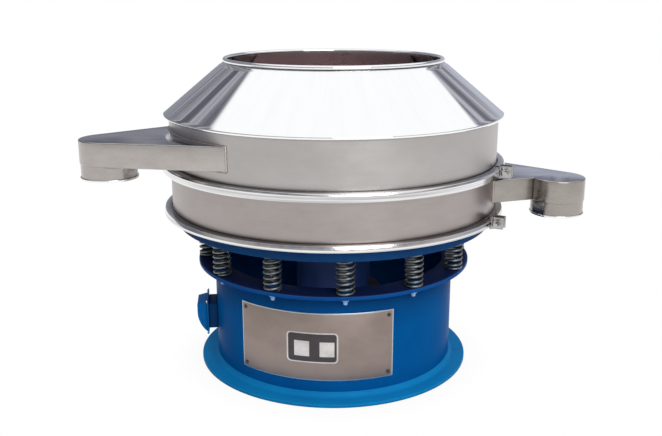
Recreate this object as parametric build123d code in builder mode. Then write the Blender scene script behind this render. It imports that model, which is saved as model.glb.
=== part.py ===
from build123d import *
from math import acos, cos, degrees, radians, sin, sqrt
import os

# Round vibrating sieve with one screening deck, in millimetres.
# The machine axis is Z, the stand rests on Z = 0 and the access cover faces -Y.

os.makedirs("parts", exist_ok=True)

# ---- driving sizes ----

# stand
barrel_radius = 377.0
barrel_wall = 6.0
barrel_height = 313.0
foot_reach = 51.0
foot_inner_reach = 22.0
foot_thickness = 10.0
shelf_reach = 50.0
shelf_inner_reach = 30.0
shelf_thickness = 10.0

# springs between the stand and the table
spring_count = 12
spring_reach = 23.0
first_spring_angle = -85.4
spring_radius = 27.0
spring_wire = 7.2
spring_height = 119.0
spring_sides = 8
stud_nut_radius = 10.5
stud_nut_height = 9.0
stud_radius = 6.5
stud_tail = 13.0

# table that the springs carry
table_flange_reach = 33.0
table_plate = 10.0
table_skirt_wall = 8.0
table_depth = 45.0
table_hole_play = 10.0

# screening frames, clamped flange to flange
sheet = 3.0
frame_radius = 500.0
flange_reach = 17.0
flange_rise = 6.0
lower_frame_height = 131.0
upper_frame_height = 144.0
seal_thickness = 4.0
dome_rise = 62.0

# clamping rings
clamp_flange_gap = 1.5
clamp_tip_gap = 3.0
clamp_web = 6.5
lower_clamp_height = 18.0
upper_clamp_height = 25.0
lower_clamp_angle = -28.0
upper_clamp_angle = -21.0
clamp_split = 14.0
lug_length = 31.0
lug_height = 34.0
lug_thickness = 9.0
clamp_bolt_radius = 6.0
clamp_bolt_play = 0.5
clamp_bolt_tail = 16.0
clamp_head_radius = 11.5
clamp_head_height = 8.0

# screen
screen_flange_thickness = 3.0
screen_flange_inset = 2.0
screen_hoop_gap = 7.0
screen_hoop_wall = 4.0
screen_hoop_height = 38.0
screen_mesh_thickness = 1.2
screen_bar_width = 16.0
screen_bar_depth = 22.0

# spouts, which leave the frames on a slant and narrow towards a round outlet
spout_overhang = 186.0
spout_end_radius = 79.5
spout_height = 68.0
spout_leading_taper = 33.0
lower_trailing_taper = 28.0
upper_trailing_taper = 17.0
lower_trailing_offset = -10.0
spout_pipe_inset = 2.0
spout_pipe_drop = 43.5
spout_rim_reach = 3.5
spout_rim_height = 4.0
lower_spout_lift = 33.0
upper_spout_lift = 40.5
lower_spout_angle = -9.0
upper_spout_angle = 203.4

# feed cone
cone_lip_reach = 16.0
cone_lip_inset = 1.0
cone_lip_height = 6.0
cone_rise = 161.5
cone_bead_centre = 328.0
cone_bead_radius = 7.5
cone_bead_sides = 6

# vibration motor
motor_radius = 118.0
motor_length = 230.0
motor_spigot = 18.0
motor_flange_reach = 47.0
motor_flange_thickness = 14.0
motor_bolt_count = 8
motor_bolt_radius = 9.0
motor_bolt_height = 8.0
shaft_radius = 22.0
shaft_clearance = 0.05
weight_radius = 150.0
weight_hub_wall = 20.0
weight_thickness = 24.0
weight_gap = 3.0
weight_arc = 150.0
shaft_nut_wall = 12.0
shaft_nut_height = 12.0
shaft_tip = 3.0

# access cover and rating plate on the front of the barrel
cover_thickness = 2.5
cover_bottom = 59.0
cover_top = 267.0
cover_first_angle = -135.2
cover_last_angle = -63.0
window_margin = 28.0
cover_screw_radius = 5.5
cover_screw_head = 3.0
cover_screw_inset = 16.0
rating_plate_thickness = 1.0
rating_plate_bottom = 115.0
rating_plate_height = 93.0
rating_plate_first_angle = -110.8
rating_plate_last_angle = -88.0

# terminal box on the side of the barrel
box_angle = 186.0
box_base_width = 96.0
box_base_bottom = 104.0
box_base_height = 80.0
box_base_reach = 26.0
box_plate_width = 116.0
box_plate_bottom = 87.0
box_plate_height = 113.0
box_plate_thickness = 4.0
box_width = 92.0
box_bottom = 90.0
box_height = 101.0
box_depth = 31.0
box_top_fall = 8.0
box_toe_height = 68.0
box_wall = 2.0
box_screw_radius = 4.0
box_screw_head = 3.0
box_screw_inset = 6.0
gland_radius = 12.0
gland_length = 18.0
gland_bore_radius = 5.0

# ---- heights and radii that follow ----

foot_radius = barrel_radius + foot_reach
foot_inner_radius = barrel_radius - foot_inner_reach
shelf_radius = barrel_radius + shelf_reach
shelf_inner_radius = barrel_radius - shelf_inner_reach
spring_circle_radius = barrel_radius + spring_reach
frame_bore = frame_radius - sheet
flange_radius = frame_radius + flange_reach
table_radius = flange_radius - table_flange_reach
table_hole_radius = motor_radius + table_hole_play
motor_flange_radius = motor_radius + motor_flange_reach
weight_hub_radius = shaft_radius + weight_hub_wall
shaft_nut_radius = shaft_radius + shaft_nut_wall
clamp_radius = flange_radius + clamp_flange_gap + clamp_web
screen_hoop_radius = frame_bore - screen_hoop_gap
spout_reach = frame_radius + spout_overhang
spout_pipe_radius = spout_end_radius - spout_pipe_inset
upper_trailing_offset = spout_end_radius
spout_rim_radius = spout_pipe_radius + spout_rim_reach
cone_lip_radius = frame_radius + cone_lip_reach
barrel_bottom = foot_thickness
barrel_top = barrel_bottom + barrel_height
shelf_top = barrel_top + shelf_thickness
table_bottom = shelf_top + spring_height
table_floor = table_bottom + table_plate
table_top = table_bottom + table_depth
lower_frame_bottom = table_top + seal_thickness
lower_frame_top = lower_frame_bottom + lower_frame_height
screen_seal_bottom = lower_frame_top + screen_flange_thickness
upper_frame_bottom = screen_seal_bottom + seal_thickness
upper_frame_top = upper_frame_bottom + upper_frame_height
flange_slope = flange_rise / flange_reach
lower_spout_level = lower_frame_bottom + lower_spout_lift
upper_spout_level = upper_frame_bottom + upper_spout_lift
spout_root_run = 6 * sheet
upright = (Align.CENTER, Align.CENTER, Align.MIN)
outward = (Align.MIN, Align.CENTER, Align.CENTER)


def turned(*outline):
    """Revolve a closed outline of (radius, height) points about the machine axis."""
    with BuildSketch(Plane.XZ) as section:
        with BuildLine():
            Polyline(*outline, close=True)
        make_face()
    revolve(section.sketch, axis=Axis.Z)


def ring(outer, inner, bottom, height):
    """Flat or tall ring about the machine axis."""
    with BuildSketch(Plane.XY.offset(bottom)) as plan:
        Circle(outer)
        Circle(inner, mode=Mode.SUBTRACT)
    extrude(plan.sketch, amount=height)


def curved_plate(outer, inner, first_angle, last_angle, bottom, height, mode=Mode.ADD):
    """Plate bent round the machine axis between two radii and two angles."""
    with BuildSketch(Plane.XY.offset(bottom)) as plan:
        with BuildLine():
            CenterArc((0, 0), outer, first_angle, last_angle - first_angle)
            CenterArc((0, 0), inner, first_angle, last_angle - first_angle)
            for angle in (first_angle, last_angle):
                direction = (cos(radians(angle)), sin(radians(angle)))
                Line(
                    (inner * direction[0], inner * direction[1]),
                    (outer * direction[0], outer * direction[1]),
                )
        make_face()
    extrude(plan.sketch, amount=height, mode=mode)


def lying(angle, height, radius=0.0):
    """Plane at an angle round the axis: X points outward and Z points up."""
    heading = (cos(radians(angle)), sin(radians(angle)), 0)
    origin = (radius * heading[0], radius * heading[1], height)
    return Plane(origin=origin, x_dir=heading, z_dir=(0, 0, 1))


def facing(angle, height, radius):
    """Plane at an angle round the axis: Z points outward and Y points up."""
    heading = (cos(radians(angle)), sin(radians(angle)), 0)
    origin = (radius * heading[0], radius * heading[1], height)
    return Plane(origin=origin, x_dir=(-heading[1], heading[0], 0), z_dir=heading)


def across(angle, height, radius):
    """Plane at an angle round the axis: X points outward, Y points down, Z follows the rim."""
    heading = (cos(radians(angle)), sin(radians(angle)), 0)
    origin = (radius * heading[0], radius * heading[1], height)
    return Plane(origin=origin, x_dir=heading, z_dir=(-heading[1], heading[0], 0))


# ---- stand ----

with BuildPart() as foot_ring:
    ring(foot_radius, foot_inner_radius, 0, foot_thickness)
foot_ring.part.label = "foot_ring"
export_step(foot_ring.part, "parts/foot_ring.step")

window_margin_angle = degrees(window_margin / barrel_radius)

with BuildPart() as barrel:
    ring(barrel_radius, barrel_radius - barrel_wall, barrel_bottom, barrel_height)
    curved_plate(
        barrel_radius + barrel_wall,
        barrel_radius - 2 * barrel_wall,
        cover_first_angle + window_margin_angle,
        cover_last_angle - window_margin_angle,
        cover_bottom + window_margin,
        cover_top - cover_bottom - 2 * window_margin,
        mode=Mode.SUBTRACT,
    )
barrel.part.label = "barrel"
export_step(barrel.part, "parts/barrel.step")

with BuildPart() as spring_shelf:
    ring(shelf_radius, shelf_inner_radius, barrel_top, shelf_thickness)
spring_shelf.part.label = "spring_shelf"
export_step(spring_shelf.part, "parts/spring_shelf.step")

with BuildPart() as spring_studs:
    with BuildSketch(Plane.XY.offset(barrel_top)):
        with PolarLocations(spring_circle_radius, spring_count, first_spring_angle):
            RegularPolygon(stud_nut_radius, 6)
    extrude(amount=-stud_nut_height)
    with BuildSketch(Plane.XY.offset(barrel_top - stud_nut_height)):
        with PolarLocations(spring_circle_radius, spring_count, first_spring_angle):
            RegularPolygon(stud_radius, 6)
    extrude(amount=-stud_tail)
spring_studs.part.label = "spring_studs"
export_step(spring_studs.part, "parts/spring_studs.step")

# Each spring is a plain sleeve with the size of its coils.
with BuildPart() as springs:
    with BuildSketch(Plane.XY.offset(shelf_top)):
        with PolarLocations(spring_circle_radius, spring_count, first_spring_angle):
            RegularPolygon(spring_radius, spring_sides)
            RegularPolygon(spring_radius - spring_wire, spring_sides, mode=Mode.SUBTRACT)
    extrude(amount=spring_height)
springs.part.label = "springs"
export_step(springs.part, "parts/springs.step")

# ---- access cover and rating plate ----

cover_radius = barrel_radius + cover_thickness
cover_height = cover_top - cover_bottom
screw_inset_angle = degrees(cover_screw_inset / cover_radius)

with BuildPart() as access_cover:
    curved_plate(
        cover_radius, barrel_radius, cover_first_angle, cover_last_angle,
        cover_bottom, cover_height,
    )
access_cover.part.label = "access_cover"
export_step(access_cover.part, "parts/access_cover.step")

with BuildPart() as cover_screws:
    for angle in (cover_first_angle + screw_inset_angle, cover_last_angle - screw_inset_angle):
        for height in (cover_bottom + cover_screw_inset, cover_top - cover_screw_inset):
            with BuildSketch(facing(angle, height, barrel_radius)):
                RegularPolygon(cover_screw_radius, 6)
            extrude(amount=cover_thickness + cover_screw_head)
    with Locations((0, 0, cover_bottom)):
        Cylinder(cover_radius, cover_height, align=upright, mode=Mode.SUBTRACT)
cover_screws.part.label = "cover_screws"
export_step(cover_screws.part, "parts/cover_screws.step")

with BuildPart() as rating_plate:
    curved_plate(
        cover_radius + rating_plate_thickness, cover_radius,
        rating_plate_first_angle, rating_plate_last_angle,
        rating_plate_bottom, rating_plate_height,
    )
rating_plate.part.label = "rating_plate"
export_step(rating_plate.part, "parts/rating_plate.step")

# ---- terminal box ----

box_base_face = barrel_radius + box_base_reach
box_plate_face = box_base_face + box_plate_thickness
box_toe_radius = (box_depth**2 + box_toe_height**2) / (2 * box_depth)

with BuildPart() as box_base:
    with BuildSketch(facing(box_angle, box_base_bottom + box_base_height / 2, 0)):
        Rectangle(box_base_width, box_base_height)
    extrude(amount=box_base_face)
    with Locations((0, 0, box_base_bottom)):
        Cylinder(barrel_radius, box_base_height, align=upright, mode=Mode.SUBTRACT)
box_base.part.label = "box_base"
export_step(box_base.part, "parts/box_base.step")

with BuildPart() as box_plate:
    with BuildSketch(facing(box_angle, box_plate_bottom + box_plate_height / 2, box_base_face)):
        Rectangle(box_plate_width, box_plate_height)
    extrude(amount=box_plate_thickness)
box_plate.part.label = "box_plate"
export_step(box_plate.part, "parts/box_plate.step")


def box_profile(inset):
    """Side of the drawn box cover: X runs outward and Y down from its top edge on the plate."""
    toe_centre = (box_depth - box_toe_radius, box_height - box_toe_height)
    toe_radius = box_toe_radius - inset
    toe_sweep = degrees(acos(-toe_centre[0] / toe_radius))
    face = box_depth - inset
    with BuildSketch(across(box_angle, box_bottom + box_height, box_plate_face)) as side:
        with BuildLine():
            Polyline((0, inset), (face, box_top_fall + inset), (face, toe_centre[1]))
            toe = CenterArc(toe_centre, toe_radius, 0, toe_sweep)
            Line(toe @ 1, (0, inset))
        make_face()
    return side.sketch


gland_height = box_bottom + box_height / 2
gland_place = across(box_angle, gland_height, box_plate_face + box_depth / 2)

with BuildPart() as terminal_box:
    extrude(box_profile(0), amount=box_width / 2, both=True)
    extrude(box_profile(box_wall), amount=box_width / 2 - box_wall, both=True, mode=Mode.SUBTRACT)
    with BuildSketch(gland_place):
        Circle(gland_bore_radius)
    extrude(amount=-box_width, mode=Mode.SUBTRACT)
terminal_box.part.label = "terminal_box"
export_step(terminal_box.part, "parts/terminal_box.step")

with BuildPart() as cable_gland:
    with BuildSketch(gland_place.offset(-box_width / 2)):
        RegularPolygon(gland_radius, 6)
        Circle(gland_bore_radius, mode=Mode.SUBTRACT)
    extrude(amount=-gland_length)
cable_gland.part.label = "cable_gland"
export_step(cable_gland.part, "parts/cable_gland.step")

with BuildPart() as box_screws:
    with BuildSketch(facing(box_angle, box_plate_bottom + box_plate_height / 2, box_plate_face)):
        with GridLocations(
            box_plate_width - 2 * box_screw_inset, box_plate_height - 2 * box_screw_inset, 2, 2
        ):
            RegularPolygon(box_screw_radius, 6)
    extrude(amount=box_screw_head)
box_screws.part.label = "box_screws"
export_step(box_screws.part, "parts/box_screws.step")

# ---- table and vibration motor ----

with BuildPart() as table:
    turned(
        (table_hole_radius, table_bottom),
        (table_radius, table_bottom),
        (table_radius, table_top - flange_slope * (flange_radius - table_radius)),
        (flange_radius, table_top),
        (table_radius - table_skirt_wall, table_top),
        (table_radius - table_skirt_wall, table_floor),
        (table_hole_radius, table_floor),
    )
table.part.label = "table"
export_step(table.part, "parts/table.step")

motor_bottom = table_bottom - motor_length
motor_top = table_bottom + motor_spigot
motor_bolt_circle = (motor_radius + motor_flange_radius) / 2
shaft_bore = shaft_radius + shaft_clearance
weight_stack = weight_gap + weight_thickness
shaft_bottom = motor_bottom - 2 * weight_stack - shaft_nut_height - shaft_tip
shaft_top = motor_top + weight_stack + shaft_nut_height + shaft_tip

with BuildPart() as motor_housing:
    turned(
        (shaft_bore, motor_bottom),
        (motor_radius, motor_bottom),
        (motor_radius, table_bottom - motor_flange_thickness),
        (motor_flange_radius, table_bottom - motor_flange_thickness),
        (motor_flange_radius, table_bottom),
        (motor_radius, table_bottom),
        (motor_radius, motor_top),
        (shaft_bore, motor_top),
    )
motor_housing.part.label = "motor_housing"
export_step(motor_housing.part, "parts/motor_housing.step")

with BuildPart() as motor_bolts:
    with BuildSketch(Plane.XY.offset(table_bottom - motor_flange_thickness)):
        with PolarLocations(motor_bolt_circle, motor_bolt_count):
            RegularPolygon(motor_bolt_radius, 6)
    extrude(amount=-motor_bolt_height)
motor_bolts.part.label = "motor_bolts"
export_step(motor_bolts.part, "parts/motor_bolts.step")

with BuildPart() as motor_shaft:
    with BuildSketch(Plane.XY.offset(shaft_bottom)):
        Circle(shaft_radius)
    extrude(amount=shaft_top - shaft_bottom)
motor_shaft.part.label = "motor_shaft"
export_step(motor_shaft.part, "parts/motor_shaft.step")


def eccentric_weight(bottom, heading, bore):
    """Sector of heavy plate round a hub on the motor shaft, heaviest towards its heading."""
    with BuildSketch(Plane.XY.offset(bottom)) as plan:
        with BuildLine():
            rim = CenterArc((0, 0), weight_radius, heading - weight_arc / 2, weight_arc)
            Line((0, 0), rim @ 0)
            Line((0, 0), rim @ 1)
        make_face()
        Circle(weight_hub_radius)
        Circle(bore, mode=Mode.SUBTRACT)
    extrude(plan.sketch, amount=weight_thickness)


upper_weight_bottom = motor_top + weight_gap
lower_weight_bottom = motor_bottom - weight_stack
trim_weight_bottom = lower_weight_bottom - weight_stack

with BuildPart() as upper_weight:
    eccentric_weight(upper_weight_bottom, 0, shaft_radius)
upper_weight.part.label = "upper_weight"
export_step(upper_weight.part, "parts/upper_weight.step")

with BuildPart() as lower_weight:
    eccentric_weight(lower_weight_bottom, 0, shaft_radius)
lower_weight.part.label = "lower_weight"
export_step(lower_weight.part, "parts/lower_weight.step")

with BuildPart() as trim_weight:
    eccentric_weight(trim_weight_bottom, 0, shaft_bore)
trim_weight.part.label = "trim_weight"
export_step(trim_weight.part, "parts/trim_weight.step")

with BuildPart() as shaft_nuts:
    for nut_bottom in (upper_weight_bottom + weight_thickness, trim_weight_bottom - shaft_nut_height):
        with BuildSketch(Plane.XY.offset(nut_bottom)):
            RegularPolygon(shaft_nut_radius, 6)
            Circle(shaft_radius, mode=Mode.SUBTRACT)
        extrude(amount=shaft_nut_height)
shaft_nuts.part.label = "shaft_nuts"
export_step(shaft_nuts.part, "parts/shaft_nuts.step")

# ---- spouts ----


def wall_root(touch, direction):
    """Point where a straight spout wall has run back through the frame's skin."""
    along = touch[0] * direction[0] + touch[1] * direction[1]
    run = along - sqrt(along**2 - touch[0] ** 2 - touch[1] ** 2 + frame_radius**2) + spout_root_run
    return (touch[0] - run * direction[0], touch[1] - run * direction[1])


def spout_plan(angle, height, trailing_taper, trailing_offset, inset):
    """Plan of a spout: two slanted walls and a round end, all moved in by inset.

    The leading wall touches the round end, and the trailing one runs towards a line
    that passes the centre of that end at an offset, until it meets the round end.
    """
    end_radius = spout_end_radius - inset
    offset = trailing_offset - inset
    leading = radians(spout_leading_taper)
    trailing = radians(trailing_taper)
    leading_way = (cos(leading), -sin(leading))
    trailing_way = (cos(trailing), sin(trailing))
    leading_touch = (spout_reach + end_radius * sin(leading), end_radius * cos(leading))
    short_of_foot = sqrt(end_radius**2 - offset**2)
    trailing_touch = (
        spout_reach + offset * sin(trailing) - short_of_foot * trailing_way[0],
        -offset * cos(trailing) - short_of_foot * trailing_way[1],
    )
    leading_root = wall_root(leading_touch, leading_way)
    trailing_root = wall_root(trailing_touch, trailing_way)
    with BuildSketch(lying(angle, height)) as plan:
        with BuildLine():
            Line(leading_root, leading_touch)
            ThreePointArc(leading_touch, (spout_reach + end_radius, 0), trailing_touch)
            Line(trailing_touch, trailing_root)
            Line(trailing_root, leading_root)
        make_face()
    return plan.sketch


def cut_to_frame(floor):
    """Take away what reaches into the frame that carries the spout."""
    with Locations((0, 0, floor)):
        Cylinder(frame_radius, spout_height, align=upright, mode=Mode.SUBTRACT)


def spout_wall(angle, floor, taper, offset):
    """Side wall of a spout, in one strip from the frame round the end and back."""
    inner_height = spout_height - 2 * sheet
    extrude(spout_plan(angle, floor + sheet, taper, offset, 0), amount=inner_height)
    inside = spout_plan(angle, floor + sheet, taper, offset, sheet)
    extrude(inside, amount=inner_height, mode=Mode.SUBTRACT)
    cut_to_frame(floor)


def spout_top(angle, floor, taper, offset):
    """Flat sheet that closes a spout from above."""
    extrude(spout_plan(angle, floor + spout_height - sheet, taper, offset, 0), amount=sheet)
    cut_to_frame(floor)


def spout_floor(angle, floor, taper, offset):
    """Flat sheet under a spout, with the hole over its pipe."""
    extrude(spout_plan(angle, floor, taper, offset, 0), amount=sheet)
    cut_to_frame(floor)
    with Locations(lying(angle, floor, spout_reach)):
        Cylinder(spout_pipe_radius - sheet, 4 * sheet, mode=Mode.SUBTRACT)


def spout_pipe(angle, floor):
    """Round pipe under the far end of a spout, with a rim that holds a sleeve."""
    with Locations(lying(angle, floor - spout_pipe_drop, spout_reach)):
        Cylinder(spout_pipe_radius, spout_pipe_drop, align=upright)
        Cylinder(spout_rim_radius, spout_rim_height, align=upright)
        Cylinder(
            spout_pipe_radius - sheet, spout_pipe_drop,
            align=upright, mode=Mode.SUBTRACT,
        )


def spout_opening(angle, floor, taper, offset):
    """Hole in a frame as wide and high as the inside of its spout."""
    inside = spout_plan(angle, floor + sheet, taper, offset, sheet)
    extrude(inside, amount=spout_height - 2 * sheet, mode=Mode.SUBTRACT)


with BuildPart() as lower_spout_wall:
    spout_wall(lower_spout_angle, lower_spout_level, lower_trailing_taper, lower_trailing_offset)
lower_spout_wall.part.label = "lower_spout_wall"
export_step(lower_spout_wall.part, "parts/lower_spout_wall.step")

with BuildPart() as lower_spout_top:
    spout_top(lower_spout_angle, lower_spout_level, lower_trailing_taper, lower_trailing_offset)
lower_spout_top.part.label = "lower_spout_top"
export_step(lower_spout_top.part, "parts/lower_spout_top.step")

with BuildPart() as lower_spout_floor:
    spout_floor(lower_spout_angle, lower_spout_level, lower_trailing_taper, lower_trailing_offset)
lower_spout_floor.part.label = "lower_spout_floor"
export_step(lower_spout_floor.part, "parts/lower_spout_floor.step")

with BuildPart() as lower_spout_pipe:
    spout_pipe(lower_spout_angle, lower_spout_level)
lower_spout_pipe.part.label = "lower_spout_pipe"
export_step(lower_spout_pipe.part, "parts/lower_spout_pipe.step")

with BuildPart() as upper_spout_wall:
    spout_wall(upper_spout_angle, upper_spout_level, upper_trailing_taper, upper_trailing_offset)
upper_spout_wall.part.label = "upper_spout_wall"
export_step(upper_spout_wall.part, "parts/upper_spout_wall.step")

with BuildPart() as upper_spout_top:
    spout_top(upper_spout_angle, upper_spout_level, upper_trailing_taper, upper_trailing_offset)
upper_spout_top.part.label = "upper_spout_top"
export_step(upper_spout_top.part, "parts/upper_spout_top.step")

with BuildPart() as upper_spout_floor:
    spout_floor(upper_spout_angle, upper_spout_level, upper_trailing_taper, upper_trailing_offset)
upper_spout_floor.part.label = "upper_spout_floor"
export_step(upper_spout_floor.part, "parts/upper_spout_floor.step")

with BuildPart() as upper_spout_pipe:
    spout_pipe(upper_spout_angle, upper_spout_level)
upper_spout_pipe.part.label = "upper_spout_pipe"
export_step(upper_spout_pipe.part, "parts/upper_spout_pipe.step")

# ---- screening frames ----

with BuildPart() as lower_seal:
    ring(flange_radius, frame_bore, table_top, seal_thickness)
lower_seal.part.label = "lower_seal"
export_step(lower_seal.part, "parts/lower_seal.step")

with BuildPart() as lower_frame:
    turned(
        (frame_bore, lower_frame_bottom),
        (flange_radius, lower_frame_bottom),
        (frame_radius, lower_frame_bottom + flange_rise),
        (frame_radius, lower_frame_top - flange_rise),
        (flange_radius, lower_frame_top),
        (frame_bore, lower_frame_top),
    )
    spout_opening(lower_spout_angle, lower_spout_level, lower_trailing_taper, lower_trailing_offset)
lower_frame.part.label = "lower_frame"
export_step(lower_frame.part, "parts/lower_frame.step")

dome_edge = lower_spout_level + sheet

with BuildPart() as dome:
    turned(
        (0, dome_edge + dome_rise - sheet),
        (frame_bore, dome_edge - sheet),
        (frame_bore, dome_edge),
        (0, dome_edge + dome_rise),
    )
dome.part.label = "dome"
export_step(dome.part, "parts/dome.step")

with BuildPart() as upper_frame:
    turned(
        (frame_bore, upper_frame_bottom),
        (flange_radius, upper_frame_bottom),
        (frame_radius, upper_frame_bottom + flange_rise),
        (frame_radius, upper_frame_top),
        (frame_bore, upper_frame_top),
    )
    spout_opening(upper_spout_angle, upper_spout_level, upper_trailing_taper, upper_trailing_offset)
upper_frame.part.label = "upper_frame"
export_step(upper_frame.part, "parts/upper_frame.step")

# ---- screen between the frames ----

screen_flange_radius = flange_radius - screen_flange_inset
hoop_bore = screen_hoop_radius - screen_hoop_wall
mesh_bottom = screen_seal_bottom + screen_hoop_height

with BuildPart() as screen_frame:
    turned(
        (hoop_bore, lower_frame_top),
        (screen_flange_radius, lower_frame_top),
        (screen_flange_radius, screen_seal_bottom),
        (screen_hoop_radius, screen_seal_bottom),
        (screen_hoop_radius, mesh_bottom),
        (hoop_bore, mesh_bottom),
    )
    with BuildSketch(Plane.XY.offset(mesh_bottom)):
        Rectangle(2 * hoop_bore + screen_hoop_wall, screen_bar_width)
        Rectangle(screen_bar_width, 2 * hoop_bore + screen_hoop_wall)
    extrude(amount=-screen_bar_depth)
screen_frame.part.label = "screen_frame"
export_step(screen_frame.part, "parts/screen_frame.step")

with BuildPart() as screen_mesh:
    with BuildSketch(Plane.XY.offset(mesh_bottom)):
        Circle(screen_hoop_radius)
    extrude(amount=screen_mesh_thickness)
screen_mesh.part.label = "screen_mesh"
export_step(screen_mesh.part, "parts/screen_mesh.step")

with BuildPart() as screen_seal:
    ring(screen_flange_radius, frame_bore, screen_seal_bottom, seal_thickness)
screen_seal.part.label = "screen_seal"
export_step(screen_seal.part, "parts/screen_seal.step")

# ---- clamping rings ----

clamp_tip_radius = frame_radius + clamp_tip_gap
clamp_bore = clamp_radius - clamp_web
lug_centre = clamp_radius + lug_length / 2
lug_face = clamp_split / 2 + lug_thickness


def clamp_ring(bottom_flange, top_flange, height, angle):
    """Split channel ring over two flanges, with a lug on each side of its split."""
    middle = (bottom_flange + top_flange) / 2
    half_gap = (top_flange - bottom_flange) / 2
    tip = half_gap + flange_slope * (flange_radius - clamp_tip_radius)
    root = half_gap + flange_slope * (flange_radius - clamp_bore)
    turned(
        (clamp_tip_radius, middle - height / 2),
        (clamp_radius, middle - height / 2),
        (clamp_radius, middle + height / 2),
        (clamp_tip_radius, middle + height / 2),
        (clamp_tip_radius, middle + tip),
        (clamp_bore, middle + root),
        (clamp_bore, middle - root),
        (clamp_tip_radius, middle - tip),
    )
    with Locations(lying(angle, middle, clamp_bore)):
        Box(clamp_web + lug_length, 2 * lug_face, lug_height, align=outward)
    with Locations(lying(angle, middle, frame_radius)):
        Box(flange_reach + 2 * lug_length, clamp_split, 2 * lug_height, align=outward, mode=Mode.SUBTRACT)
    with Locations(across(angle, middle, lug_centre)):
        Cylinder(clamp_bolt_radius + clamp_bolt_play, 4 * lug_face, mode=Mode.SUBTRACT)


def clamp_bolt(height, angle):
    """Bolt through both lugs of a clamping ring, with its head, its nut and its bare end."""
    head_seat = across(angle, height, lug_centre).offset(lug_face)
    nut_seat = across(angle, height, lug_centre).offset(-lug_face)
    with BuildSketch(head_seat, nut_seat.offset(-clamp_head_height)) as hexagons:
        RegularPolygon(clamp_head_radius, 6)
    extrude(hexagons.sketch, amount=clamp_head_height)
    with BuildSketch(head_seat) as shank:
        Circle(clamp_bolt_radius)
    extrude(shank.sketch, amount=-2 * lug_face - clamp_head_height - clamp_bolt_tail)


with BuildPart() as lower_clamp:
    clamp_ring(table_top, lower_frame_bottom, lower_clamp_height, lower_clamp_angle)
lower_clamp.part.label = "lower_clamp"
export_step(lower_clamp.part, "parts/lower_clamp.step")

with BuildPart() as upper_clamp:
    clamp_ring(lower_frame_top, upper_frame_bottom, upper_clamp_height, upper_clamp_angle)
upper_clamp.part.label = "upper_clamp"
export_step(upper_clamp.part, "parts/upper_clamp.step")

with BuildPart() as clamp_bolts:
    clamp_bolt((table_top + lower_frame_bottom) / 2, lower_clamp_angle)
    clamp_bolt((lower_frame_top + upper_frame_bottom) / 2, upper_clamp_angle)
clamp_bolts.part.label = "clamp_bolts"
export_step(clamp_bolts.part, "parts/clamp_bolts.step")

# ---- feed cone ----

cone_edge = upper_frame_top + cone_lip_height
cone_bead_height = upper_frame_top + cone_rise
cone_slope = (cone_bead_height - cone_edge) / (cone_lip_radius - cone_bead_centre)
cone_drop = sheet * sqrt(1 + cone_slope**2)
cone_inner_foot = cone_lip_radius - (sheet + cone_drop - cone_lip_height) / cone_slope

with BuildPart() as feed_cone:
    with BuildSketch(Plane.XZ):
        with BuildLine():
            Polyline(
                (frame_bore - cone_lip_inset, upper_frame_top),
                (cone_lip_radius, upper_frame_top),
                (cone_lip_radius, cone_edge),
                (cone_bead_centre, cone_bead_height),
                (cone_bead_centre, cone_bead_height - cone_drop),
                (cone_inner_foot, upper_frame_top + sheet),
                (frame_bore - cone_lip_inset, upper_frame_top + sheet),
                close=True,
            )
        make_face()
        with Locations((cone_bead_centre, cone_bead_height)):
            RegularPolygon(cone_bead_radius, cone_bead_sides)
    revolve(axis=Axis.Z)
feed_cone.part.label = "feed_cone"
export_step(feed_cone.part, "parts/feed_cone.step")
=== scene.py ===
from math import atan2, cos, degrees, hypot, pi, radians, sin, sqrt, tan

import bmesh
import bpy
from mathutils import Matrix, Vector


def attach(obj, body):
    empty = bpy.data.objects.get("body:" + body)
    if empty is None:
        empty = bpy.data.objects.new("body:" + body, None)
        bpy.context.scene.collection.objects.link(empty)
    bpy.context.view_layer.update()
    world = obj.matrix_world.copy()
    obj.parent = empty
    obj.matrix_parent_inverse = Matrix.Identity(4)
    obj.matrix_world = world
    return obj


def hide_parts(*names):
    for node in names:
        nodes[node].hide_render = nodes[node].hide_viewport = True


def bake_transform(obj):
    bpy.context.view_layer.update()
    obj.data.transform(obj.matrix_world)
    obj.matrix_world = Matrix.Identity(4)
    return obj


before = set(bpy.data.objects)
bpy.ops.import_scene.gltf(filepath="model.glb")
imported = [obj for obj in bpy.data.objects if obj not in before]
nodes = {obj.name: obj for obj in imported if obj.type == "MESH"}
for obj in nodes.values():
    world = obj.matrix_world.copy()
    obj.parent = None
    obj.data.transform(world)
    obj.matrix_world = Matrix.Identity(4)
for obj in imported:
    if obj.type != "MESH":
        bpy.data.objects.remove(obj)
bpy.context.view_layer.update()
STAND = "stand"
SHAKEN = "vibrating_body"
MM = 0.001


# ---------------------------------------------------------------- sizes, in millimetres and degrees

def extent(node):
    """Lowest and highest height, then smallest and largest radius, of a CAD node, to a tenth."""
    points = [vertex.co / MM for vertex in nodes[node].data.vertices]
    heights = [round(point.z, 1) for point in points]
    radii = [round(hypot(point.x, point.y), 1) for point in points]
    return min(heights), max(heights), min(radii), max(radii)


# stand
BARREL_RADIUS = extent("barrel")[3]
SHELF_LOW, SHELF_TOP, SHELF_INNER, SHELF_OUTER = extent("spring_shelf")
TABLE_LOW, TABLE_TOP, TABLE_INNER, TABLE_OUTER = extent("table")
TABLE_SKIRT = TABLE_OUTER - 33.0
TABLE_SKIRT_WALL = 8.0
TABLE_PLATE = 10.0
TABLE_FLANGE_ROOT = 11.7

# springs
SPRING_COUNT = 12
FIRST_SPRING = -85.4
SPRING_LOW, SPRING_TOP, spring_inner, spring_outer = extent("springs")
SPRING_CIRCLE = (spring_inner + spring_outer) / 2
SPRING_RADIUS = (spring_outer - spring_inner) / 2
WIRE_RADIUS = 3.7
ACTIVE_TURNS = 6.3
CLOSED_TURNS = 1.0

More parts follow.
